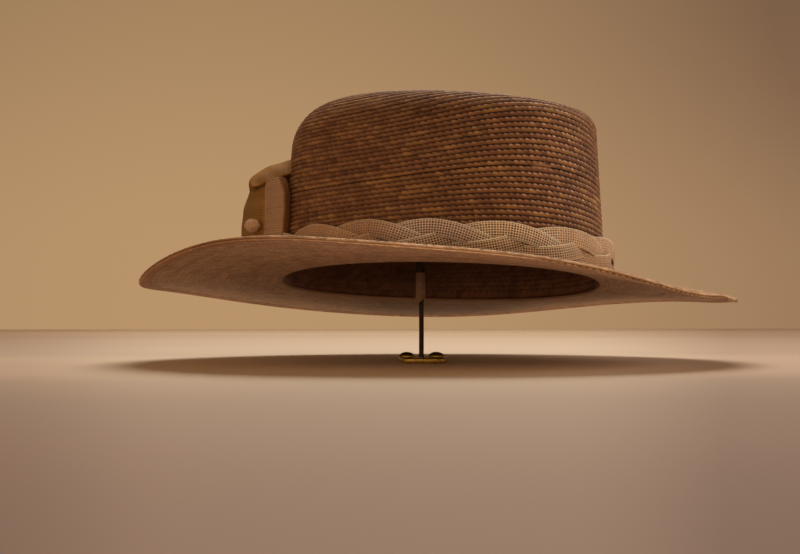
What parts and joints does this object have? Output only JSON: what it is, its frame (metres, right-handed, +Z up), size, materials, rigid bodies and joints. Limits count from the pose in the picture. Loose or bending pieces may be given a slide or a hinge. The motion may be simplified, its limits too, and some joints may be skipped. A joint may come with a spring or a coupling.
{
  "type": "straw hat on display stand",
  "caption": "Sewn straw-braid hat with a plaited gauze tape band and an upright bow at the back, held on a small screwed display stand.",
  "frame": {"origin": "on the surface that the stand's foot rests on, under the rod", "axes": "+X towards the front of the hat, away from the bow; +Y to the hat's left side; +Z up"},
  "size_m": [0.3691, 0.327, 0.163],
  "materials": {
    "brown_straw": "matte",
    "pale_straw": "matte",
    "gauze_tape": "matte",
    "brass": "satin",
    "dark_steel": "satin",
    "tubing": "matte",
    "rest_plastic": "matte"
  },
  "bodies": {
    "root": {"crown": "brown_straw", "brim": "pale_straw", "brim_edge": "pale_straw", "stand_foot": "brass", "screw_back": "brass", "screw_front": "brass", "stand_rod": "dark_steel", "stand_post": "dark_steel", "stand_sleeve": "tubing", "crown_rest": "rest_plastic", "band_strand_1": "gauze_tape", "band_strand_2": "gauze_tape", "band_strand_3": "gauze_tape", "bow_loop_right": "gauze_tape", "bow_strap_right": "gauze_tape", "bow_tail_right": "gauze_tape", "bow_roll_right": "gauze_tape", "bow_loop_left": "gauze_tape", "bow_strap_left": "gauze_tape", "bow_tail_left": "gauze_tape", "bow_roll_left": "gauze_tape"}
  },
  "joints": []
}
